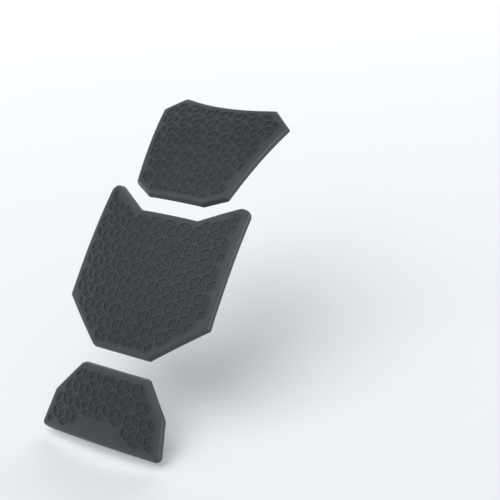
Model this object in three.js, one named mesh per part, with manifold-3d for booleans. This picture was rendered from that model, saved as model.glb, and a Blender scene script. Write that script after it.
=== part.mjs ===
// Tank pad in three moulded rubber pieces, shown bent to the surface that they are stuck on.
//
// Each pad is drawn flat: u runs across, v runs forward along the centre line and w stands
// off the back face. bent() then gives every flat point its place. Sizes are in
// millimetres, +X is right, +Y forward and +Z up. The origin is on the back face of the
// middle pad, half way up its centre line.

import * as THREE from 'three';
import { mergeVertices } from 'three/addons/utils/BufferGeometryUtils.js';
import Module from 'manifold-3d';

// Section of the rubber
const THICKNESS = 4.5;
const LIP_HEIGHT = 3.7;
const LIP_LEAN = 1.4;
const BEVEL_WIDTH = 1.2;

// Relief of rhombic recesses between thin ridges
const RHOMB_EDGE = 7.5;
const RIDGE_WIDTH = 1.3;
const RECESS_DEPTH = 0.6;
const RECESS_DRAFT = 0.2;

// Smooth border round the relief, wider along the sides of the middle and upper pad
const BORDER_WIDTH = 5.3;
const SIDE_BORDER_WIDTH = 6.5;

// Middle pad: half widths, and heights above its foot edge
const MIDDLE_FOOT_V = -64;
const MIDDLE_FOOT_HALF = 25.8;
const MIDDLE_HALF_WIDTH = 64.6;
const MIDDLE_HIP_HEIGHT = 33;
const MIDDLE_HORN_HEIGHT = 135.8;
const MIDDLE_NOTCH_HALF = 26.4;
const MIDDLE_NOTCH_HEIGHT = 111.2;
const MIDDLE_STAR_HEIGHT = 36.3;

// Upper pad
const UPPER_GAP = 11.9;
const UPPER_FOOT_HALF = 25.5;
const UPPER_HIP_HALF = 42.5;
const UPPER_HIP_HEIGHT = 9.7;
const UPPER_SHOULDER_HALF = 59.6;
const UPPER_SHOULDER_HEIGHT = 87.1;
const UPPER_HEAD_HALF = 42.1;
const UPPER_HEAD_HEIGHT = 101.5;
const UPPER_VALLEY_HEIGHT = 88.2;
const UPPER_STAR_HEIGHT = 33.5;

// Lower pad
const LOWER_GAP = 12.4;
const LOWER_LENGTH = 56;
const LOWER_HEAD_HALF = 30.4;
const LOWER_SHOULDER_HALF = 50.2;
const LOWER_SHOULDER_HEIGHT = 30.5;
const LOWER_FOOT_HALF = 55.5;
const LOWER_STAR_HEIGHT = 30.5;

// Smooth place at the foot of the lower pad
const PLAIN_HALF = 19.5;
const PLAIN_HEIGHT = 15;

// Corner radii
const CRISP_CORNER = 2;
const SOFT_CORNER = 4.5;
const HORN_CORNER = 7;
const VALLEY_RADIUS = 108;
const SHARPEST_CORNER = 0.3;

// Bend of the surface under the pads: slope and bend of its centre line at v = 0, the
// length over which that bend grows, and the radius of the crown across it
const SLOPE = THREE.MathUtils.degToRad(42);
const LENGTHWISE_RADIUS = 507;
const BEND_GROWTH_LENGTH = 390.7;
const CROWN_RADIUS = 288;

// Fineness of the faceted solids and how far the cutting tools reach past what they cut
const EDGE_STEP = 13;
const ARC_STEP = 4;
const SPINE_STEPS = 24;
const REACH = 20;
const SKIM = 0.5;

const RUBBER_COLOR = 0x44484c;
const RUBBER_ROUGHNESS = 0.62;

const wasm = await Module();
wasm.setup();

// Place of a flat point on the bent surface

function slopeAt(v) {
  return SLOPE - v / LENGTHWISE_RADIUS - (v / BEND_GROWTH_LENGTH) ** 2;
}

// Point of the centre line at v, by Simpson's rule on its direction
function centreLineAt(v) {
  const step = v / SPINE_STEPS;
  const point = new THREE.Vector2();
  for (let i = 0; i <= SPINE_STEPS; i++) {
    const inner = i % 2 === 1 ? 4 : 2;
    const weight = i === 0 || i === SPINE_STEPS ? 1 : inner;
    const slope = slopeAt(i * step);
    point.x += weight * Math.cos(slope) * step / 3;
    point.y += weight * Math.sin(slope) * step / 3;
  }
  return point;
}

function bent(u, v, w) {
  const centre = centreLineAt(v);
  const slope = slopeAt(v);
  const turn = u / CROWN_RADIUS;
  const lift = (CROWN_RADIUS + w) * Math.cos(turn) - CROWN_RADIUS;
  return new THREE.Vector3(
    (CROWN_RADIUS + w) * Math.sin(turn),
    centre.x - lift * Math.sin(slope),
    centre.y + lift * Math.cos(slope),
  );
}

// Flat outlines

// Full loop, anticlockwise, from the corners of its right half, foot first.
// A corner is { u, v, radius } and one on the centre line has no mirror image.
function mirrored(rightHalf) {
  const leftHalf = rightHalf.filter((corner) => corner.u > 0).reverse();
  return [...rightHalf, ...leftHalf.map((corner) => ({ ...corner, u: -corner.u }))];
}

// Crossing of two lines, each given by a point and a direction
function crossing(pointA, directionA, pointB, directionB) {
  const between = pointB.clone().sub(pointA);
  const along = between.cross(directionB) / directionA.cross(directionB);
  return pointA.clone().addScaledVector(directionA, along);
}

// Outline moved inwards by inset, with its corners rounded and its straight edges divided.
// Insets of one outline all have the same number of points, so they can be lofted.
function insetOutline(corners, inset) {
  const count = corners.length;
  const points = corners.map((corner) => new THREE.Vector2(corner.u, corner.v));
  const edges = points.map((point, i) => points[(i + 1) % count].clone().sub(point).normalize());
  const inward = edges.map((edge) => new THREE.Vector2(-edge.y, edge.x));
  const arcs = corners.map((corner, i) => {
    const before = (i + count - 1) % count;
    const turn = Math.atan2(edges[before].cross(edges[i]), edges[before].dot(edges[i]));
    const convex = turn > 0;
    const radius = Math.max(SHARPEST_CORNER, corner.radius - (convex ? inset : -inset));
    const tip = crossing(
      points[i].clone().addScaledVector(inward[before], inset), edges[before],
      points[i].clone().addScaledVector(inward[i], inset), edges[i],
    );
    const tangent = radius * Math.tan(Math.abs(turn) / 2);
    const start = tip.clone().addScaledVector(edges[before], -tangent);
    const centre = start.clone().addScaledVector(inward[before], convex ? radius : -radius);
    const steps = Math.max(2, Math.ceil(Math.abs(turn) * corner.radius / ARC_STEP));
    const arc = [];
    for (let k = 0; k <= steps; k++) {
      arc.push(start.clone().rotateAround(centre, turn * k / steps));
    }
    return arc;
  });
  const outline = [];
  arcs.forEach((arc, i) => {
    outline.push(...arc);
    const next = arcs[(i + 1) % count][0];
    const last = arc[arc.length - 1];
    const pieces = Math.ceil(points[i].distanceTo(points[(i + 1) % count]) / EDGE_STEP);
    for (let k = 1; k < pieces; k++) {
      outline.push(last.clone().lerp(next, k / pieces));
    }
  });
  return outline;
}

// Solids

function welded(vertices, triangles) {
  const geometry = new THREE.BufferGeometry().setFromPoints(vertices);
  geometry.setIndex(triangles.flat());
  return mergeVertices(geometry);
}

function solidOf(geometry) {
  return new wasm.Manifold(new wasm.Mesh({
    numProp: 3,
    vertProperties: geometry.getAttribute('position').array,
    triVerts: new Uint32Array(geometry.getIndex().array),
  }));
}

// Solid through a stack of insets of one outline: levels are { inset, w }, lowest first
function loft(corners, levels) {
  const rings = levels.map((level) => insetOutline(corners, level.inset));
  const size = rings[0].length;
  const vertices = rings.flatMap((ring, k) => ring.map((p) => bent(p.x, p.y, levels[k].w)));
  const top = (levels.length - 1) * size;
  const triangles = [];
  for (let k = 0; k + 1 < levels.length; k++) {
    for (let i = 0; i < size; i++) {
      const low = k * size + i;
      const lowNext = k * size + (i + 1) % size;
      triangles.push([low, lowNext, lowNext + size], [low, lowNext + size, low + size]);
    }
  }
  for (const [a, b, c] of THREE.ShapeUtils.triangulateShape(rings[0], [])) {
    triangles.push([c, b, a], [top + a, top + b, top + c]);
  }
  return solidOf(welded(vertices, triangles));
}

function contains(outline, point) {
  let inside = false;
  outline.forEach((a, i) => {
    const b = outline[(i + 1) % outline.length];
    const across = (a.y > point.y) !== (b.y > point.y);
    if (across && point.x < a.x + (b.x - a.x) * (point.y - a.y) / (b.y - a.y)) {
      inside = !inside;
    }
  });
  return inside;
}

// Rhombs that tile the plane over an outline. Six sharp corners meet at each star, so every
// rhomb joins two neighbouring stars, in one of three directions.
function rhombs(outline, star) {
  const starPitch = RHOMB_EDGE * Math.sqrt(3);
  const rowPitch = starPitch * Math.sqrt(3) / 2;
  const box = new THREE.Box2().setFromPoints(outline).expandByScalar(starPitch);
  const tiling = [];
  for (let row = Math.floor((box.min.y - star.y) / rowPitch); star.y + row * rowPitch < box.max.y; row++) {
    const shift = star.x + Math.abs(row % 2) * starPitch / 2;
    for (let i = Math.floor((box.min.x - shift) / starPitch); shift + i * starPitch < box.max.x; i++) {
      for (const turn of [0, Math.PI / 3, 2 * Math.PI / 3]) {
        const along = new THREE.Vector2(Math.cos(turn), Math.sin(turn));
        const centre = new THREE.Vector2(shift + i * starPitch, star.y + row * rowPitch);
        centre.addScaledVector(along, starPitch / 2);
        tiling.push({ centre, along, across: new THREE.Vector2(-along.y, along.x) });
      }
    }
  }
  return tiling;
}

// Corners of a rhomb whose edges are moved in by inset, anticlockwise
function rhombCorners({ centre, along, across }, inset) {
  const inRadius = RHOMB_EDGE * Math.sqrt(3) / 4;
  const scale = 1 - inset / inRadius;
  const halfLength = scale * RHOMB_EDGE * Math.sqrt(3) / 2;
  const halfWidth = scale * RHOMB_EDGE / 2;
  return [[halfLength, 0], [0, halfWidth], [-halfLength, 0], [0, -halfWidth]].map(
    ([a, b]) => centre.clone().addScaledVector(along, a).addScaledVector(across, b),
  );
}

// Faces of a rhomb's ring of four corners, starting at vertex first, seen from above
function cap(first) {
  return [[first, first + 1, first + 3], [first + 1, first + 2, first + 3]];
}

function downCap(first) {
  return cap(first).map(([a, b, c]) => [c, b, a]);
}

// Faces from one ring of four corners out or up to the next
function band(first, next) {
  return [0, 1, 2, 3].flatMap((k) => {
    const turn = (k + 1) % 4;
    return [[first + k, first + turn, next + turn], [first + k, next + turn, next + k]];
  });
}

// Bent sheet of whole rhombs, wider than the pad. A rhomb that lies inside the field has its
// recess from the start, and the others are plain.
function sheet(outline, field, tiling) {
  const margin = new THREE.Box2().setFromPoints(outline).expandByScalar(RHOMB_EDGE);
  const recess = [
    { inset: 0, w: THICKNESS },
    { inset: RIDGE_WIDTH / 2, w: THICKNESS },
    { inset: RIDGE_WIDTH / 2 + RECESS_DRAFT, w: THICKNESS - RECESS_DEPTH },
  ];
  const vertices = [];
  const triangles = [];
  const walls = new Map();
  const ring = (rhomb, inset, w) => {
    vertices.push(...rhombCorners(rhomb, inset).map((p) => bent(p.x, p.y, w)));
    return vertices.length - 4;
  };
  for (const rhomb of tiling.filter(({ centre }) => margin.containsPoint(centre))) {
    const back = ring(rhomb, 0, 0);
    triangles.push(...downCap(back));
    const levels = isWhole(rhomb, field) ? recess : recess.slice(0, 1);
    const rings = levels.map(({ inset, w }) => ring(rhomb, inset, w));
    for (let k = 0; k + 1 < rings.length; k++) triangles.push(...band(rings[k], rings[k + 1]));
    triangles.push(...cap(rings[rings.length - 1]));
    const faces = band(back, rings[0]);
    edgeKeys(rhomb).forEach((key, k) => {
      walls.set(key, walls.has(key) ? [] : faces.slice(2 * k, 2 * k + 2));
    });
  }
  triangles.push(...[...walls.values()].flat());
  return solidOf(welded(vertices, triangles));
}

// One key for each edge of a rhomb, the same from both rhombs that share the edge
function edgeKeys(rhomb) {
  return rhombCorners(rhomb, 0).map((corner, k, corners) => {
    const ends = corner.clone().add(corners[(k + 1) % 4]);
    return ends.toArray().map((value) => Math.round(value * 100)).join();
  });
}

function isWhole(rhomb, field) {
  return rhombCorners(rhomb, RIDGE_WIDTH / 2).every((corner) => contains(field, corner));
}

// Recesses that the edge of the field cuts through, as cutting tools
function cutRecesses(field, tiling) {
  const wallSlope = RECESS_DRAFT / RECESS_DEPTH;
  const vertices = [];
  const triangles = [];
  for (const rhomb of tiling) {
    if (isWhole(rhomb, field) || !contains(field, rhomb.centre)) continue;
    const first = vertices.length;
    const floor = rhombCorners(rhomb, RIDGE_WIDTH / 2 + RECESS_DRAFT);
    const mouth = rhombCorners(rhomb, RIDGE_WIDTH / 2 - SKIM * wallSlope);
    vertices.push(...floor.map((p) => bent(p.x, p.y, THICKNESS - RECESS_DEPTH)));
    vertices.push(...mouth.map((p) => bent(p.x, p.y, THICKNESS + SKIM)));
    triangles.push(...downCap(first), ...band(first, first + 4), ...cap(first + 4));
  }
  return solidOf(welded(vertices, triangles));
}

// One pad

// The outer wall leans in, then a bevel runs up to the top face
function rimLevels() {
  const bevelSlope = BEVEL_WIDTH / (THICKNESS - LIP_HEIGHT);
  const topInset = LIP_LEAN + BEVEL_WIDTH + SKIM * bevelSlope;
  return [
    { inset: 0, w: -SKIM },
    { inset: 0, w: 0 },
    { inset: LIP_LEAN, w: LIP_HEIGHT },
    { inset: topInset, w: THICKNESS + SKIM },
    { inset: topInset, w: THICKNESS + REACH },
  ];
}

// The wall that ends the relief at the smooth border has the recesses' own draft
function fieldLevels() {
  const wallSlope = RECESS_DRAFT / RECESS_DEPTH;
  return [
    { inset: BORDER_WIDTH + 2 * RECESS_DRAFT, w: THICKNESS - 2 * RECESS_DEPTH },
    { inset: BORDER_WIDTH - SKIM * wallSlope, w: THICKNESS + SKIM },
    { inset: BORDER_WIDTH - SKIM * wallSlope, w: THICKNESS + REACH },
  ];
}

function padSolid({ corners, fieldCorners, star }) {
  const outline = insetOutline(corners, 0);
  const field = insetOutline(fieldCorners, BORDER_WIDTH);
  const tiling = rhombs(outline, star);
  const cut = cutRecesses(field, tiling).intersect(loft(fieldCorners, fieldLevels()));
  return sheet(outline, field, tiling).intersect(loft(corners, rimLevels())).subtract(cut);
}

function padMesh(name, pad) {
  const { vertProperties, triVerts } = padSolid(pad).getMesh();
  const geometry = new THREE.BufferGeometry();
  geometry.setAttribute('position', new THREE.BufferAttribute(vertProperties, 3));
  geometry.setIndex(new THREE.BufferAttribute(triVerts, 1));
  geometry.computeVertexNormals();
  const rubber = new THREE.MeshStandardMaterial({
    color: RUBBER_COLOR,
    roughness: RUBBER_ROUGHNESS,
    metalness: 0,
  });
  const mesh = new THREE.Mesh(geometry, rubber);
  mesh.name = name;
  return mesh;
}

// The three drawings. Each has a star of the relief on its centre line, at starV, and the
// field is what the border leaves of the outline that fieldCorners give.

function drawing(corners, fieldCorners, starV) {
  return { corners, fieldCorners, star: new THREE.Vector2(0, starV) };
}

function middleDrawing() {
  const foot = MIDDLE_FOOT_V;
  const outline = (sideInset) => mirrored([
    { u: MIDDLE_FOOT_HALF, v: foot, radius: CRISP_CORNER },
    { u: MIDDLE_HALF_WIDTH - sideInset, v: foot + MIDDLE_HIP_HEIGHT, radius: CRISP_CORNER },
    { u: MIDDLE_HALF_WIDTH - sideInset, v: foot + MIDDLE_HORN_HEIGHT, radius: HORN_CORNER },
    { u: MIDDLE_NOTCH_HALF, v: foot + MIDDLE_NOTCH_HEIGHT, radius: CRISP_CORNER },
  ]);
  return drawing(outline(0), outline(SIDE_BORDER_WIDTH - BORDER_WIDTH), foot + MIDDLE_STAR_HEIGHT);
}

function upperDrawing() {
  const foot = MIDDLE_FOOT_V + MIDDLE_NOTCH_HEIGHT + UPPER_GAP;
  const outline = (sideInset) => mirrored([
    { u: UPPER_FOOT_HALF, v: foot, radius: CRISP_CORNER },
    { u: UPPER_HIP_HALF - sideInset, v: foot + UPPER_HIP_HEIGHT, radius: CRISP_CORNER },
    { u: UPPER_SHOULDER_HALF - sideInset, v: foot + UPPER_SHOULDER_HEIGHT, radius: CRISP_CORNER },
    { u: UPPER_HEAD_HALF, v: foot + UPPER_HEAD_HEIGHT, radius: CRISP_CORNER },
    { u: 0, v: foot + UPPER_VALLEY_HEIGHT, radius: VALLEY_RADIUS },
  ]);
  return drawing(outline(0), outline(SIDE_BORDER_WIDTH - BORDER_WIDTH), foot + UPPER_STAR_HEIGHT);
}

function lowerDrawing() {
  const foot = MIDDLE_FOOT_V - LOWER_GAP - LOWER_LENGTH;
  const rightHalf = [
    { u: LOWER_FOOT_HALF, v: foot, radius: SOFT_CORNER },
    { u: LOWER_SHOULDER_HALF, v: foot + LOWER_SHOULDER_HEIGHT, radius: SOFT_CORNER },
    { u: LOWER_HEAD_HALF, v: foot + LOWER_LENGTH, radius: SOFT_CORNER },
  ];
  const plainEdge = PLAIN_HALF - BORDER_WIDTH;
  const plainPlace = [
    { u: plainEdge, v: foot + PLAIN_HEIGHT - BORDER_WIDTH, radius: SHARPEST_CORNER },
    { u: plainEdge, v: foot, radius: SHARPEST_CORNER },
  ];
  const fieldCorners = mirrored([...plainPlace, ...rightHalf]);
  return drawing(mirrored(rightHalf), fieldCorners, foot + LOWER_STAR_HEIGHT);
}

const tankPad = new THREE.Group();
tankPad.name = 'tank_pad';
tankPad.add(
  padMesh('upper_pad', upperDrawing()),
  padMesh('middle_pad', middleDrawing()),
  padMesh('lower_pad', lowerDrawing()),
);

export default tankPad;
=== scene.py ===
"""Tank pad in three moulded rubber pieces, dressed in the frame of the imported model.

Each pad is drawn flat in millimetres: u runs across, v runs forward along the centre line and
w stands off the back face. Bend.place() gives every flat point its place in metres, with +X
right, +Y forward and +Z up.
"""

import logging
import math
from dataclasses import dataclass
from enum import Enum
from typing import Sequence

import bmesh
import bpy
import numpy as np
from mathutils import Matrix, Vector
from mathutils.geometry import delaunay_2d_cdt


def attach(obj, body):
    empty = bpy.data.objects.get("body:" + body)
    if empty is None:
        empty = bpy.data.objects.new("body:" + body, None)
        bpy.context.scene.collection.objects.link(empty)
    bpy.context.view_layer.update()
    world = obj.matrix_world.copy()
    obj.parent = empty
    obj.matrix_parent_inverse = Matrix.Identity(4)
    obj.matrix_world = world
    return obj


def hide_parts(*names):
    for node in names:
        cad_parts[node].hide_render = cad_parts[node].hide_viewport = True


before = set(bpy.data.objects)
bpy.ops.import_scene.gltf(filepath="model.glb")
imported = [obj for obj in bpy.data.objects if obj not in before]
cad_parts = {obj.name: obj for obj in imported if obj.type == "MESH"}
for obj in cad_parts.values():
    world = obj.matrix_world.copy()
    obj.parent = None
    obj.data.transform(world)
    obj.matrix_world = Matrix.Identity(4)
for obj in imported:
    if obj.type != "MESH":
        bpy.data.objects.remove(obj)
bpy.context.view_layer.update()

Array = np.ndarray
Tint = tuple[float, float, float] | bpy.types.NodeSocket
MILLIMETRE = 0.001
MERGE_DISTANCE = 0.004
WELD_DISTANCE = 0.000002
PLACE_DECIMALS = 4

log = logging.getLogger("tank_pad")


class Zone(Enum):
    """A named float attribute of the pads, which the rubber finish reads as a mask of painted shade.
    """

    RECESS_SHADE = "relief"
    FIELD_SHADE = "field"


@dataclass(frozen=True)
class Corner:
    """A rounded corner of a flat outline, in millimetres."""

    u: float
    v: float
    radius: float


@dataclass(frozen=True)
class Bend:
    """The double bend that the pads take on when they are fitted, in millimetres and radians."""

    slope: float = math.radians(42.0)
    lengthwise_radius: float = 507.0
    growth_length: float = 390.7
    crown_radius: float = 288.0
    reach: float = 200.0
    table_step: float = 0.25

    def slope_at(self, v: Array) -> Array:
        """Slope of the centre line: slope - v / lengthwise_radius - (v / growth_length)^2."""
        return self.slope - v / self.lengthwise_radius - (v / self.growth_length) ** 2

    def centre_line(self, v: Array) -> tuple[Array, Array]:
        """Forward and upward place of the centre line at v.

        The direction (cos, sin) of the slope is summed by the trapezium rule from v = 0, and
        the sums are read off at v.

        Args:
            v: lengths along the centre line.

        Returns:
            The forward and the upward place, each of v's shape.
        """
        table = np.arange(-self.reach, self.reach + self.table_step, self.table_step)
        slope = self.slope_at(table)
        places = []
        for direction in (np.cos(slope), np.sin(slope)):
            steps = 0.5 * (direction[1:] + direction[:-1]) * self.table_step
            total = np.concatenate([[0.0], np.cumsum(steps)])
            places.append(np.interp(v, table, total - np.interp(0.0, table, total)))
        return places[0], places[1]

    def place(self, flat: Array) -> Array:
        """Bends flat points.

        With turn = u / R, x = (R + w) sin(turn) and lift = (R + w) cos(turn) - R, where R is
        the crown radius. The lift stands square to the centre line at v.

        Args:
            flat: rows of u, v, w in millimetres.

        Returns:
            Rows of x, y, z in metres.
        """
        u, v, w = flat.T
        forward, upward = self.centre_line(v)
        slope = self.slope_at(v)
        turn = u / self.crown_radius
        lift = (self.crown_radius + w) * np.cos(turn) - self.crown_radius
        x = (self.crown_radius + w) * np.sin(turn)
        y = forward - lift * np.sin(slope)
        z = upward + lift * np.cos(slope)
        return np.stack([x, y, z], axis=1) * MILLIMETRE


def cross(a: Array, b: Array) -> Array:
    """Cross product of flat vectors, a_u b_v - a_v b_u."""
    return a[..., 0] * b[..., 1] - a[..., 1] * b[..., 0]


def left_of(a: Array) -> Array:
    """The flat vectors turned a quarter turn to the left, (-v, u)."""
    return np.stack([-a[..., 1], a[..., 0]], axis=-1)


def turned(a: Array, angle: Array) -> Array:
    """The flat vectors turned to the left by angle: a cos(angle) + left_of(a) sin(angle)."""
    return a * np.cos(angle)[..., None] + left_of(a) * np.sin(angle)[..., None]


def mirrored(right_half: Sequence[Corner]) -> Array:
    """Full loop of corners, anticlockwise.

    Args:
        right_half: the corners of the right half, foot first. One on the centre line has no
            mirror image.

    Returns:
        Rows of u, v and radius.
    """
    right = np.array([[corner.u, corner.v, corner.radius] for corner in right_half])
    left = right[right[:, 0] > 0][::-1] * (-1.0, 1.0, 1.0)
    return np.vstack([right, left])


def spread(counts: Array, first: int, last: int) -> tuple[Array, Array]:
    """Evenly spread points over several stretches.

    Args:
        counts: how many pieces each stretch is divided into.
        first: the first division that is wanted, 0 or 1.
        last: how many divisions from the end are left out, 0 or 1.

    Returns:
        The stretch that each point is on, and how far along it is, from 0 to 1.
    """
    sizes = counts + 1 - first - last
    owner = np.repeat(np.arange(len(counts)), sizes)
    start = np.repeat(np.cumsum(sizes) - sizes, sizes)
    index = np.arange(sizes.sum()) - start + first
    return owner, index / counts[owner]


@dataclass(frozen=True)
class Outline:
    """A flat outline of rounded corners, given as rows of u, v and radius, anticlockwise.

    An arc is divided into steps of radius / arc_share, within arc_step and longest_arc_step.
    """

    corners: Array
    sharpest: float = 0.3
    edge_step: float = 2.4
    fewest_edge_pieces: int = 2
    arc_share: float = 8.0
    arc_step: float = 0.5
    longest_arc_step: float = 2.4
    fewest_arc_pieces: int = 4

    def loops(self, insets: Sequence[float]) -> Array:
        """The outline moved inwards by each inset, as loops with matching points.

        With inward normals n0 and n1 beside a corner, the moved edges meet at
        tip = corner + inset (n0 + n1) / (1 + n0 . n1). An arc of radius r - inset rounds a
        convex tip and one of radius r + inset a hollow tip. It starts r tan(turn / 2) before
        the tip. Straight stretches between the arcs are divided evenly.

        Args:
            insets: how far each loop lies inside the outline.

        Returns:
            An array of loops by points by (u, v).
        """
        inset = np.asarray(insets, float)[:, None]
        point, rounding = self.corners[:, :2], self.corners[:, 2]
        edge = np.roll(point, -1, axis=0) - point
        length = np.linalg.norm(edge, axis=1)
        edge = edge / length[:, None]
        before = np.roll(edge, 1, axis=0)
        turn = np.arctan2(cross(before, edge), (before * edge).sum(axis=1))
        hollow = np.sign(turn)
        meet = (left_of(before) + left_of(edge)) / (1.0 + np.cos(turn))[:, None]
        tip = point + inset[..., None] * meet
        radius = np.maximum(self.sharpest, rounding - hollow * inset)
        start = tip - before * (radius * np.tan(np.abs(turn) / 2))[..., None]
        centre = start + left_of(before) * (hollow * radius)[..., None]
        arc_step = np.clip(rounding / self.arc_share, self.arc_step, self.longest_arc_step)
        bends = np.ceil(np.abs(turn) * rounding / arc_step)
        owner, along = spread(np.maximum(self.fewest_arc_pieces, bends).astype(int), 0, 0)
        arcs = centre[:, owner] + turned((start - centre)[:, owner], turn[owner] * along)
        last = centre + turned(start - centre, turn)
        pieces = np.ceil(length / self.edge_step)
        side, part = spread(np.maximum(self.fewest_edge_pieces, pieces).astype(int), 1, 1)
        following = np.roll(start, -1, axis=1)
        sides = last[:, side] + (following - last)[:, side] * part[:, None]
        rank = np.concatenate([owner + 0.5 * along, side + 0.5 + 0.5 * part])
        return np.concatenate([arcs, sides], axis=1)[:, np.argsort(rank, kind="stable")]


def inside_distance(points: Array, loop: Array, batch: int = 6000) -> Array:
    """How far points lie inside a loop, negative outside it.

    The distance to each stretch of the loop is |p - a - t (b - a)| with t clamped to 0..1. A
    point is inside where a ray along +u crosses the loop an odd number of times.

    Args:
        points: rows of u and v.
        loop: rows of u and v, closed from the last to the first.
        batch: how many points are worked out together.

    Returns:
        One signed distance for each point.
    """
    start = loop
    end = np.roll(loop, -1, axis=0)
    span = end - start
    found = []
    for part in np.array_split(points, max(1, len(points) // batch)):
        offset = part[:, None] - start
        along = np.clip((offset * span).sum(axis=2) / (span * span).sum(axis=1), 0.0, 1.0)
        gap = np.linalg.norm(offset - along[..., None] * span, axis=2).min(axis=1)
        height = part[:, 1:2]
        level = (start[:, 1] > height) != (end[:, 1] > height)
        rise = np.where(span[:, 1] == 0, 1.0, span[:, 1])
        crossing = start[:, 0] + span[:, 0] * (height - start[:, 1]) / rise
        odd = (level & (part[:, 0:1] < crossing)).sum(axis=1) % 2 == 1
        found.append(np.where(odd, gap, -gap))
    return np.concatenate(found)


def section(points: Sequence[tuple[float, float]], radii: Sequence[float], steps: int) -> Array:
    """A section line with its inner corners rounded.

    An arc of radius r rounds a corner where the line turns by turn. It starts
    r tan(turn / 2) before the corner and its centre lies r to the side that the line turns to.

    Args:
        points: the sharp section, as distance and height.
        radii: one radius for each inner corner.
        steps: how many chords each arc has.

    Returns:
        Rows of distance and height.
    """
    sharp = np.array(points, float)
    edge = np.diff(sharp, axis=0)
    edge /= np.linalg.norm(edge, axis=1)[:, None]
    before, after = edge[:-1], edge[1:]
    turn = np.arctan2(cross(before, after), (before * after).sum(axis=1))
    radius = np.array(radii, float)
    start = sharp[1:-1] - before * (radius * np.tan(np.abs(turn) / 2))[:, None]
    centre = start + left_of(before) * (np.sign(turn) * radius)[:, None]
    angle = turn[:, None] * np.linspace(0.0, 1.0, steps + 1)
    arcs = centre[:, None] + turned((start - centre)[:, None], angle)
    return np.vstack([sharp[:1], arcs.reshape(-1, 2), sharp[-1:]])


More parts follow.
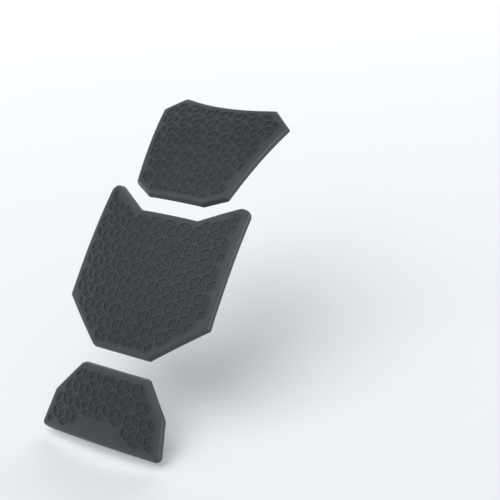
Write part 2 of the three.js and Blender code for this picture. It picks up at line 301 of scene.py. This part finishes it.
@dataclass(frozen=True)
class Relief:
    """Rhombic recesses between thin ridges, in millimetres.

    Six sharp corners meet at each star. Stars stand in rows, one of them on the centre line
    at star_v, and every rhomb joins two neighbouring stars. The section of a recess wall
    starts on the ridge, land outside the mouth, and ends widest inside it.
    """

    star_v: float
    edge: float = 7.5
    ridge_width: float = 1.3
    depth: float = 0.6
    draft: float = 0.2
    crest_radius: float = 0.18
    floor_radius: float = 0.25
    floor_inset: float = 1.5
    pieces: int = 5
    land: float = 1.0
    widest: float = 50.0
    arc_chords: int = 3

    @property
    def half_length(self) -> float:
        """Half of a rhomb's long diagonal, edge sqrt(3) / 2."""
        return self.edge * math.sqrt(3.0) / 2

    @property
    def half_width(self) -> float:
        """Half of a rhomb's short diagonal, edge / 2."""
        return self.edge / 2

    @property
    def in_radius(self) -> float:
        """Distance from a rhomb's centre to its edges, edge sqrt(3) / 4."""
        return self.edge * math.sqrt(3.0) / 4

    def profile(self) -> Array:
        """Section of a recess wall.

        Returns:
            Rows of distance inside the mouth and drop below the top.
        """
        wall = [(0.0, 0.0), (self.draft, -self.depth)]
        line = [(-self.land, 0.0), *wall, (self.widest, -self.depth)]
        return section(line, [self.crest_radius, self.floor_radius], self.arc_chords)

    def cells(self, loop: Array) -> tuple[Array, Array]:
        """Every rhomb that may touch a loop.

        Stars of row r stand at star_v + 1.5 edge r, a long diagonal apart, and odd rows are
        shifted by half of that. A rhomb's centre lies half a long diagonal from a star, at
        0, 60 or 120 degrees.

        Args:
            loop: the loop, as rows of u and v.

        Returns:
            The centres, and the angle of each long diagonal.
        """
        pitch = 2 * self.half_length
        low = loop.min(axis=0) - pitch
        high = loop.max(axis=0) + pitch
        row_pitch = 1.5 * self.edge
        rows = np.arange(math.floor((low[1] - self.star_v) / row_pitch),
                         math.ceil((high[1] - self.star_v) / row_pitch) + 1)
        columns = np.arange(math.floor(low[0] / pitch) - 1, math.ceil(high[0] / pitch) + 1)
        row, column, turn = np.meshgrid(rows, columns, np.arange(3) * math.pi / 3, indexing="ij")
        u = (column + 0.5 * (row % 2)) * pitch + self.half_length * np.cos(turn)
        v = self.star_v + row * row_pitch + self.half_length * np.sin(turn)
        centre = np.stack([u.ravel(), v.ravel()], axis=1)
        near = ((centre > low) & (centre < high)).all(axis=1)
        return centre[near], turn.ravel()[near]

    def mouth_distance(self, points: Array, field: Array) -> Array:
        """Distance inside the mouth of a recess, negative on the ridges.

        Inside a rhomb the middle of the ridge is in_radius (1 - |a| / half_length
        - |b| / half_width) away, where a and b run along and across its long diagonal. The
        same sum is negative for every other rhomb, so the largest over the nearest rhomb of
        each kind is taken. Rhombs of one angle stand on two rectangular nets, where rounding
        finds the nearest. A rhomb whose centre lies outside the field has no recess.

        Args:
            points: rows of u and v.
            field: the loop that ends the field.

        Returns:
            One distance for each point.
        """
        pitch = 2 * self.half_length
        net = np.array([pitch, 3 * self.edge])
        best = np.full(len(points), -np.inf)
        owner = np.zeros_like(points)
        for turn in np.arange(3) * math.pi / 3:
            along = np.array([math.cos(turn), math.sin(turn)])
            for shift in (0.0, 0.5):
                home = np.array([0.0, self.star_v]) + self.half_length * along + shift * net
                centre = home + np.round((points - home) / net) * net
                offset = points - centre
                a = np.abs(offset @ along)
                b = np.abs(cross(along, offset))
                inside = self.in_radius * (1 - a / self.half_length - b / self.half_width)
                nearer = inside > best
                best = np.where(nearer, inside, best)
                owner = np.where(nearer[:, None], centre, owner)
        rounded = np.round(owner, PLACE_DECIMALS)
        centres, index = np.unique(rounded, axis=0, return_inverse=True)
        sunk = (inside_distance(centres, field) > 0)[index.ravel()]
        return np.where(sunk, best - self.ridge_width / 2, -self.ridge_width)

    def rings(self, field: Array, insets: Array) -> Array:
        """Mouths of the recesses moved in by each inset, divided into short stretches.

        A rhomb moved in by d is the same rhomb scaled by 1 - d / in_radius about its centre,
        and a mouth lies half a ridge inside its rhomb.

        Args:
            field: the loop that ends the field. Rhombs whose centre lies outside have no recess.
            insets: distances inside the mouth.

        Returns:
            An array of insets by stretches by two ends by (u, v).
        """
        centre, turn = self.cells(field)
        sunk = inside_distance(centre, field) > 0
        centre, turn = centre[sunk], turn[sunk]
        corner = np.array([[1.0, 0.0], [0.0, 1.0], [-1.0, 0.0], [0.0, -1.0], [1.0, 0.0]])
        corner = corner * (self.half_length, self.half_width)
        owner, along = spread(np.full(4, self.pieces), 0, 1)
        ring = corner[owner] + (corner[owner + 1] - corner[owner]) * along[:, None]
        scale = 1 - (insets + self.ridge_width / 2) / self.in_radius
        rhombs = turned(ring[None, :], turn[:, None] * np.ones(len(ring)))
        start = centre[:, None] + scale[:, None, None, None] * rhombs
        ends = np.stack([start, np.roll(start, -1, axis=2)], axis=3)
        return ends.reshape(len(insets), -1, 2, 2)


def clipped(stretches: Array, spare: Array) -> Array:
    """Stretches cut back to where a measure is positive.

    The measure is taken to change evenly along a stretch, so it is zero at
    a + (b - a) f_a / (f_a - f_b).

    Args:
        stretches: rows of two ends by (u, v).
        spare: the measure at both ends of each stretch.

    Returns:
        The stretches that are left.
    """
    keep = (spare > 0).any(axis=1)
    ends, value = stretches[keep], spare[keep]
    ratio = value[:, 0] / np.where(value[:, 0] == value[:, 1], 1.0, value[:, 0] - value[:, 1])
    cut = ends[:, 0] + (ends[:, 1] - ends[:, 0]) * ratio[:, None]
    return np.where((value > 0)[..., None], ends, cut[:, None])


def as_stretches(loops: Array) -> Array:
    """Stretches of closed loops, as rows of two ends by (u, v)."""
    return np.stack([loops, np.roll(loops, -1, axis=-2)], axis=-2).reshape(-1, 2, 2)


def triangulated(boundary: Array, stretches: Array, spots: Array) -> tuple[Array, Array]:
    """Triangles inside a loop that keep to given stretches.

    Args:
        boundary: the loop, as rows of u and v.
        stretches: rows of two ends by (u, v) that triangles mustn't cross.
        spots: further points, as rows of u and v.

    Returns:
        The points and the triangles, anticlockwise.
    """
    points = np.vstack([boundary, stretches.reshape(-1, 2), spots])
    count = len(boundary)
    around = np.stack([np.arange(count), np.roll(np.arange(count), -1)], axis=1)
    inner = count + np.arange(2 * len(stretches)).reshape(-1, 2)
    edges = np.vstack([around, inner])
    found = delaunay_2d_cdt(points.tolist(), edges.tolist(), [], 1, MERGE_DISTANCE)
    flat = np.array([tuple(point) for point in found[0]])
    faces = np.array(found[2])
    a, b, c = flat[faces[:, 0]], flat[faces[:, 1]], flat[faces[:, 2]]
    upside_down = cross(b - a, c - a) < 0
    faces[upside_down] = faces[upside_down][:, ::-1]
    return flat, faces


def spots_inside(loop: Array, spacing: float, margin: float) -> Array:
    """Points of a triangular net inside a loop.

    Args:
        loop: the loop, as rows of u and v.
        spacing: distance between neighbouring points.
        margin: the least distance from the loop.

    Returns:
        Rows of u and v.
    """
    low, high = loop.min(axis=0), loop.max(axis=0)
    rows = np.arange(low[1], high[1], spacing * math.sqrt(3.0) / 2)
    columns = np.arange(low[0], high[0], spacing)
    v, u = np.meshgrid(rows, columns, indexing="ij")
    u = u + 0.5 * spacing * (np.arange(len(rows)) % 2)[:, None]
    net = np.stack([u.ravel(), v.ravel()], axis=1)
    return net[inside_distance(net, loop) > margin]


@dataclass(frozen=True)
class RubberFinish:
    """Matt charcoal rubber from a mould, with a fine spark-eroded grain, and painted shade that
    darkens the relief field, its recesses and the side faces.
    """

    name: str = "pad_rubber"
    border_color: tuple[float, float, float] = (0.0425, 0.0538, 0.0628)
    # painted shade: the relief field's crests darker than the smooth border
    shaded_crest_color: tuple[float, float, float] = (0.0246, 0.0320, 0.0383)
    # painted shade: recess floors darker than the crests
    shaded_recess_color: tuple[float, float, float] = (0.0158, 0.0208, 0.0252)
    roughness: float = 0.46
    rougher: float = 0.60
    specular_level: float = 0.42
    cloud_scale: float = 55.0
    cloud_detail: float = 4.0
    grain_scale: float = 2600.0
    grain_detail: float = 2.0
    grain_depth: float = 0.00004
    grain_strength: float = 0.35

    @staticmethod
    def mixed(made: bpy.types.Material, share: bpy.types.NodeSocket, first: Tint,
              second: Tint) -> bpy.types.NodeSocket:
        """Adds a mix of two colours.

        Args:
            made: the material that the mix is added to.
            share: the socket that says how much of the second colour there is.
            first: the first colour, or the socket that gives it.
            second: the second colour, or the socket that gives it.

        Returns:
            The socket of the mixed colour.
        """
        mix = made.node_tree.nodes.new("ShaderNodeMix")
        mix.data_type = "RGBA"
        made.node_tree.links.new(share, mix.inputs["Factor"])
        for socket, tint in ((mix.inputs["A"], first), (mix.inputs["B"], second)):
            if isinstance(tint, tuple):
                socket.default_value = (*tint, 1.0)
            else:
                made.node_tree.links.new(tint, socket)
        return mix.outputs["Result"]

    @staticmethod
    def zone(made: bpy.types.Material, zone: Zone) -> bpy.types.NodeSocket:
        """Adds a reader of one of the pads' attributes.

        Args:
            made: the material that the reader is added to.
            zone: the attribute.

        Returns:
            The socket of the attribute's value.
        """
        reader = made.node_tree.nodes.new("ShaderNodeAttribute")
        reader.attribute_name = zone.value
        return reader.outputs["Fac"]

    @staticmethod
    def noise(made: bpy.types.Material, place: bpy.types.NodeSocket, scale: float,
              detail: float) -> bpy.types.NodeSocket:
        """Adds a noise.

        Args:
            made: the material that the noise is added to.
            place: the socket of the place that the noise reads.
            scale: how many times the noise changes in a metre.
            detail: how many finer noises are added to it.

        Returns:
            The socket of the noise's value.
        """
        cloud = made.node_tree.nodes.new("ShaderNodeTexNoise")
        cloud.inputs["Scale"].default_value = scale
        cloud.inputs["Detail"].default_value = detail
        made.node_tree.links.new(place, cloud.inputs["Vector"])
        return cloud.outputs["Fac"]

    def material(self) -> bpy.types.Material:
        """Makes the rubber: colour with painted shade by field and relief, cloudy gloss, and a grain
        bump.

        Returns:
            The material.
        """
        made = bpy.data.materials.new(self.name)
        made.use_nodes = True
        nodes = made.node_tree.nodes
        links = made.node_tree.links
        shader = nodes["Principled BSDF"]
        shader.inputs["Specular IOR Level"].default_value = self.specular_level
        place = nodes.new("ShaderNodeTexCoord").outputs["Object"]
        clouds = self.noise(made, place, self.cloud_scale, self.cloud_detail)
        relief = self.zone(made, Zone.RECESS_SHADE)
        field = self.zone(made, Zone.FIELD_SHADE)
        # painted shade in the recesses: the floors take the darker colour, the crests the lighter
        shaded_relief = self.mixed(made, relief, self.shaded_recess_color, self.shaded_crest_color)
        # painted shade over the relief field and the side faces: the border colour gives way to the
        # darker relief colours
        color = self.mixed(made, field, self.border_color, shaded_relief)
        links.new(color, shader.inputs["Base Color"])
        gloss = nodes.new("ShaderNodeMapRange")
        gloss.inputs["To Min"].default_value = self.rougher
        gloss.inputs["To Max"].default_value = self.roughness
        links.new(clouds, gloss.inputs["Value"])
        links.new(gloss.outputs["Result"], shader.inputs["Roughness"])
        grain = self.noise(made, place, self.grain_scale, self.grain_detail)
        bump = nodes.new("ShaderNodeBump")
        bump.inputs["Strength"].default_value = self.grain_strength
        bump.inputs["Distance"].default_value = self.grain_depth
        links.new(grain, bump.inputs["Height"])
        links.new(bump.outputs["Normal"], shader.inputs["Normal"])
        return made


@dataclass
class TankPad:
    """One moulded pad: a bevelled rim, a smooth border and a field of rhombic recesses.

    Lengths are in millimetres. side_shade is the side face's share of the field's painted shade.
    """

    node: str
    thickness: float = 4.5
    lip_height: float = 3.7
    lip_lean: float = 1.4
    bevel_width: float = 1.2
    rim_depth: float = 3.8
    lip_radius: float = 0.5
    brow_radius: float = 0.5
    rim_chords: int = 4
    border_width: float = 5.3
    side_border_width: float = 6.5
    # painted shade: the field's shade grows in from the lip over this reach
    field_shade_reach: float = 7.0
    # painted shade on the side faces and the back, as a share of the field's shade
    side_shade: float = 0.75
    back_spacing: float = 5.0

    def right_half(self, side_inset: float = 0.0) -> list[Corner]:
        """The corners of the right half of the outline, foot first.

        Args:
            side_inset: how far the long sides are moved in.

        Returns:
            The corners.
        """
        raise NotImplementedError

    def field_right_half(self) -> list[Corner]:
        """The corners that bound the field, before the border is taken off."""
        return self.right_half(self.side_border_width - self.border_width)

    def relief(self) -> Relief:
        """The relief, with its star in place."""
        raise NotImplementedError

    def rim_section(self) -> Array:
        """Section of the rim.

        Returns:
            Rows of distance from the outline and height above the back.
        """
        bevel = [(self.lip_lean, self.lip_height), (self.lip_lean + self.bevel_width, self.thickness)]
        line = [(0.0, 0.0), *bevel, (self.rim_depth, self.thickness)]
        return section(line, [self.lip_radius, self.brow_radius], self.rim_chords)

    def field_shade(self, distance: Array) -> Array:
        """Share of the field's painted shade, growing evenly from 0 at the lip to 1 at
        field_shade_reach.
        """
        return np.clip((distance - self.lip_lean) / (self.field_shade_reach - self.lip_lean), 0.0, 1.0)

    def rim(self, outline: Outline) -> tuple[Array, Array, Array, Array]:
        """The rim as a stack of matching loops joined by bands of faces.

        Args:
            outline: the pad's outline.

        Returns:
            The flat points, the faces of four corners, each point's share of the field's painted
            shade, and the innermost loop.
        """
        rows = self.rim_section()
        loops = outline.loops(rows[:, 0])
        levels, count = loops.shape[:2]
        height = np.repeat(rows[:, 1], count)
        points = np.column_stack([loops.reshape(-1, 2), height])
        level, index = np.meshgrid(np.arange(levels - 1), np.arange(count), indexing="ij")
        here = (level * count + index).ravel()
        beside = (level * count + (index + 1) % count).ravel()
        faces = np.stack([here, beside, beside + count, here + count], axis=1)
        # painted shade: the side face below the lip takes a fixed share of the field's shade, above
        # it the shade grows in from the lip
        field_shade = np.where(rows[:, 1] < self.lip_height, self.side_shade, self.field_shade(rows[:, 0]))
        return points, faces, np.repeat(field_shade, count), loops[-1]

    def field_lines(self, outline: Outline, relief: Relief) -> tuple[Array, Array]:
        """Lines of the recess walls, where the mesh has its edges.

        The mouth of a recess is the rhomb between its ridges, cut off where the field ends.
        Each line lies a fixed distance inside the mouth. It follows the rhomb until the end
        of the field is as near, and there it follows the end of the field.

        Args:
            outline: the outline that bounds the field, before the border is taken off.
            relief: the relief.

        Returns:
            The stretches of all lines, and the loop that ends the field.
        """
        field = outline.loops([self.border_width])[0]
        insets = relief.profile()[1:-1, 0]
        insets = np.append(insets, insets[-1] + relief.floor_inset)
        rings = relief.rings(field, insets)
        edges = outline.loops(self.border_width + insets)
        lines = []
        for inset, ring, edge in zip(insets, rings, edges):
            spare = inside_distance(ring.reshape(-1, 2), field).reshape(-1, 2) - inset
            lines.append(clipped(ring, spare))
            ends = as_stretches(edge)
            spare = relief.mouth_distance(ends.reshape(-1, 2), field).reshape(-1, 2) - inset
            lines.append(clipped(ends, spare))
        return np.vstack(lines), field

    def top(self, boundary: Array) -> tuple[Array, Array, Array]:
        """The top face inside the rim, with its recesses.

        A point's height is the thickness plus the wall profile at
        d = min(distance inside the mouth, distance inside the field).

        Args:
            boundary: the innermost loop of the rim.

        Returns:
            The flat points, the triangles, and each point's share of the field's painted shade.
        """
        relief = self.relief()
        outline = Outline(mirrored(self.field_right_half()))
        lines, field = self.field_lines(outline, relief)
        flat, faces = triangulated(boundary, lines, np.empty((0, 2)))
        inside = np.minimum(relief.mouth_distance(flat, field), inside_distance(flat, field))
        profile = relief.profile()
        drop = np.interp(inside, profile[:, 0], profile[:, 1])
        field_shade = self.field_shade(inside_distance(flat, boundary) + self.rim_depth)
        return np.column_stack([flat, self.thickness + drop]), faces, field_shade

    def back(self, boundary: Array) -> tuple[Array, Array]:
        """The smooth back face, at no height and facing down.

        Args:
            boundary: the outermost loop of the rim.

        Returns:
            The flat points and the triangles.
        """
        spots = spots_inside(boundary, self.back_spacing, self.back_spacing / 2)
        flat, faces = triangulated(boundary, np.empty((0, 2, 2)), spots)
        return np.column_stack([flat, np.zeros(len(flat))]), faces[:, ::-1]

    def build(self, bend: Bend) -> bpy.types.Object:
        """Makes the pad as one closed, bent mesh.

        Args:
            bend: the bend that the pad takes on.

        Returns:
            The pad's object, at the origin.
        """
        rim_points, rim_faces, rim_shade, boundary = self.rim(Outline(mirrored(self.right_half())))
        top_points, top_faces, top_shade = self.top(boundary)
        loop = rim_points[:len(boundary), :2]
        back_points, back_faces = self.back(loop)
        flat = np.vstack([rim_points, top_points, back_points])
        # mask of painted shade in the recesses: 0 on the floors, 1 on the crests
        relief = np.clip((flat[:, 2] - self.thickness) / self.relief().depth + 1.0, 0.0, 1.0)
        # mask of painted shade: grows in from the lip across the border into the relief field; the
        # side faces and the back take a fixed share
        field = np.concatenate([rim_shade, top_shade, np.full(len(back_points), self.side_shade)])
        zones = {Zone.RECESS_SHADE: relief, Zone.FIELD_SHADE: field}
        offset = len(rim_points)
        faces = [*rim_faces.tolist(), *(top_faces + offset).tolist()]
        faces += (back_faces + offset + len(top_points)).tolist()
        mesh = bpy.data.meshes.new(self.node + "_relief")
        mesh.from_pydata(bend.place(flat).tolist(), [], faces)
        for zone, values in zones.items():
            mesh.attributes.new(zone.value, "FLOAT", "POINT").data.foreach_set("value", values)
        self.close(mesh)
        piece = bpy.data.objects.new(self.node + "_rubber", mesh)
        bpy.context.scene.collection.objects.link(piece)
        return piece

    @staticmethod
    def close(mesh: bpy.types.Mesh) -> None:
        """Welds the rim, top and back where they meet, and shades the mesh smooth.

        Args:
            mesh: the pad's mesh.
        """
        work = bmesh.new()
        work.from_mesh(mesh)
        bmesh.ops.remove_doubles(work, verts=work.verts, dist=WELD_DISTANCE)
        open_edges = sum(1 for edge in work.edges if not edge.is_manifold)
        log.info("%s: %d open edges, %d faces", mesh.name, open_edges, len(work.faces))
        work.to_mesh(mesh)
        work.free()
        mesh.shade_smooth()

    def dress(self, piece: bpy.types.Object, rubber: bpy.types.Material) -> None:
        """Gives the pad its rubber and its place in the frame.

        Args:
            piece: the pad's object.
            rubber: the material.
        """
        piece.data.materials.append(rubber)
        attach(piece, "root")
        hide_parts(self.node)


@dataclass
class MiddlePad(TankPad):
    """The large pad with two horns and a notch between them."""

    node: str = "middle_pad"
    foot: float = -64.0
    foot_half: float = 25.8
    half_width: float = 64.6
    hip_height: float = 33.0
    horn_height: float = 135.8
    notch_half: float = 26.4
    notch_height: float = 111.2
    corner_radius: float = 2.0
    horn_radius: float = 7.0
    star_height: float = 36.3

    def right_half(self, side_inset: float = 0.0) -> list[Corner]:
        """The corners of the right half of the outline, foot first.

        Args:
            side_inset: how far the long sides are moved in.

        Returns:
            The corners.
        """
        side = self.half_width - side_inset
        return [
            Corner(self.foot_half, self.foot, self.corner_radius),
            Corner(side, self.foot + self.hip_height, self.corner_radius),
            Corner(side, self.foot + self.horn_height, self.horn_radius),
            Corner(self.notch_half, self.foot + self.notch_height, self.corner_radius),
        ]

    def relief(self) -> Relief:
        """The relief, with its star in place."""
        return Relief(self.foot + self.star_height)


@dataclass
class UpperPad(TankPad):
    """The foremost pad, with a shallow valley in its head."""

    node: str = "upper_pad"
    foot: float = 59.1
    foot_half: float = 25.5
    hip_half: float = 42.5
    hip_height: float = 9.7
    shoulder_half: float = 59.6
    shoulder_height: float = 87.1
    head_half: float = 42.1
    head_height: float = 101.5
    valley_height: float = 88.2
    corner_radius: float = 2.0
    valley_radius: float = 108.0
    star_height: float = 33.5

    def right_half(self, side_inset: float = 0.0) -> list[Corner]:
        """The corners of the right half of the outline, foot first.

        Args:
            side_inset: how far the long sides are moved in.

        Returns:
            The corners.
        """
        hip = self.hip_half - side_inset
        shoulder = self.shoulder_half - side_inset
        return [
            Corner(self.foot_half, self.foot, self.corner_radius),
            Corner(hip, self.foot + self.hip_height, self.corner_radius),
            Corner(shoulder, self.foot + self.shoulder_height, self.corner_radius),
            Corner(self.head_half, self.foot + self.head_height, self.corner_radius),
            Corner(0.0, self.foot + self.valley_height, self.valley_radius),
        ]

    def relief(self) -> Relief:
        """The relief, with its star in place."""
        return Relief(self.foot + self.star_height)


@dataclass
class LowerPad(TankPad):
    """The rearmost pad, with a smooth place at its foot."""

    node: str = "lower_pad"
    foot: float = -132.4
    length: float = 56.0
    head_half: float = 30.4
    shoulder_half: float = 50.2
    shoulder_height: float = 30.5
    foot_half: float = 55.5
    corner_radius: float = 4.5
    star_height: float = 30.5
    plain_half: float = 19.5
    plain_height: float = 15.0
    plain_radius: float = 0.3

    def right_half(self, side_inset: float = 0.0) -> list[Corner]:
        """The corners of the right half of the outline, foot first.

        Args:
            side_inset: how far the long sides are moved in.

        Returns:
            The corners.
        """
        shoulder = self.shoulder_half - side_inset
        return [
            Corner(self.foot_half - side_inset, self.foot, self.corner_radius),
            Corner(shoulder, self.foot + self.shoulder_height, self.corner_radius),
            Corner(self.head_half, self.foot + self.length, self.corner_radius),
        ]

    def field_right_half(self) -> list[Corner]:
        """The outline with a notch, so that the border also frames the smooth place.

        Returns:
            The corners of the right half.
        """
        edge = self.plain_half - self.border_width
        head = self.foot + self.plain_height - self.border_width
        notch = [Corner(edge, head, self.plain_radius), Corner(edge, self.foot, self.plain_radius)]
        return notch + self.right_half()

    def relief(self) -> Relief:
        """The relief, with its star in place."""
        return Relief(self.foot + self.star_height)


@dataclass(frozen=True)
class SoftLight:
    """A large soft light, in metres and watts, turned towards the pads."""

    name: str
    place: tuple[float, float, float]
    width: float
    height: float
    power: float

    def hang(self, target: Vector) -> None:
        """Hangs the light at its place.

        Args:
            target: the point that the light is turned towards.
        """
        data = bpy.data.lights.new(self.name, "AREA")
        data.shape = "RECTANGLE"
        data.size = self.width
        data.size_y = self.height
        data.energy = self.power
        lamp = bpy.data.objects.new(self.name, data)
        lamp.location = self.place
        lamp.rotation_euler = (target - Vector(self.place)).to_track_quat("-Z", "Y").to_euler()
        bpy.context.scene.collection.objects.link(lamp)


@dataclass
class Studio:
    """Pale floor, soft light and the camera."""

    floor_height: float = -0.105
    floor_half: float = 6.0
    eye: tuple[float, float, float] = (0.46251, -0.53920, 0.41420)
    forward: tuple[float, float, float] = (-0.48883, 0.71613, -0.49820)
    right: tuple[float, float, float] = (0.85319, 0.51158, -0.10177)
    lens: float = 78.59
    sensor_width: float = 36.0
    target: tuple[float, float, float] = (0.0, 0.02, 0.0)
    floor_color: tuple[float, float, float] = (0.80, 0.81, 0.83)
    floor_roughness: float = 0.9
    sky_color: tuple[float, float, float] = (0.80, 0.83, 0.88)
    sky_strength: float = 0.45

    def camera(self) -> None:
        """Sets the camera from its eye and its directions forward and right."""
        forward = Vector(self.forward).normalized()
        right = Vector(self.right).normalized()
        up = right.cross(forward).normalized()
        turn = Matrix((right, up, -forward)).transposed().to_4x4()
        data = bpy.data.cameras.new("camera")
        data.lens = self.lens
        data.sensor_width = self.sensor_width
        camera = bpy.data.objects.new("camera", data)
        camera.matrix_world = Matrix.Translation(self.eye) @ turn
        bpy.context.scene.collection.objects.link(camera)
        bpy.context.scene.camera = camera

    def floor(self) -> None:
        """Lays the floor below the pads."""
        half = self.floor_half
        corners = [(-half, -half), (half, -half), (half, half), (-half, half)]
        mesh = bpy.data.meshes.new("floor")
        mesh.from_pydata([(x, y, self.floor_height) for x, y in corners], [], [(0, 1, 2, 3)])
        paint = bpy.data.materials.new("floor_paint")
        paint.use_nodes = True
        shader = paint.node_tree.nodes["Principled BSDF"]
        shader.inputs["Base Color"].default_value = (*self.floor_color, 1.0)
        shader.inputs["Roughness"].default_value = self.floor_roughness
        mesh.materials.append(paint)
        floor = bpy.data.objects.new("floor", mesh)
        bpy.context.scene.collection.objects.link(floor)

    def light(self) -> None:
        """Hangs the soft lights and fills the sky."""
        lights = [
            SoftLight("key", (-0.40, -0.75, 1.90), 2.2, 1.8, 28.0),
            SoftLight("ahead", (-0.40, 1.60, 0.85), 1.8, 0.8, 14.0),
            SoftLight("right", (1.84, 0.78, 0.08), 1.2, 0.30, 36.0),
            SoftLight("left", (-1.75, 0.22, 0.12), 1.7, 0.35, 11.0),
            SoftLight("rear", (-0.75, -1.75, 0.10), 2.0, 0.30, 7.0),
        ]
        for lamp in lights:
            lamp.hang(Vector(self.target))
        world = bpy.data.worlds.new("sky")
        world.use_nodes = True
        sky = world.node_tree.nodes["Background"]
        sky.inputs["Color"].default_value = (*self.sky_color, 1.0)
        sky.inputs["Strength"].default_value = self.sky_strength
        bpy.context.scene.world = world
        bpy.context.scene.view_settings.view_transform = "Standard"

    def build(self) -> None:
        """Sets up the camera, the floor and the light."""
        self.camera()
        self.floor()
        self.light()


def main() -> None:
    """Builds and dresses the three pads, then the studio."""
    logging.basicConfig(level=logging.INFO, format="%(name)s %(message)s")
    bend = Bend()
    rubber = RubberFinish().material()
    for pad in (UpperPad(), MiddlePad(), LowerPad()):
        piece = pad.build(bend)
        pad.dress(piece, rubber)
        log.info("%s built, %d vertices", piece.name, len(piece.data.vertices))
    Studio().build()
    log.info("studio built")


if __name__ == "__main__":
    main()
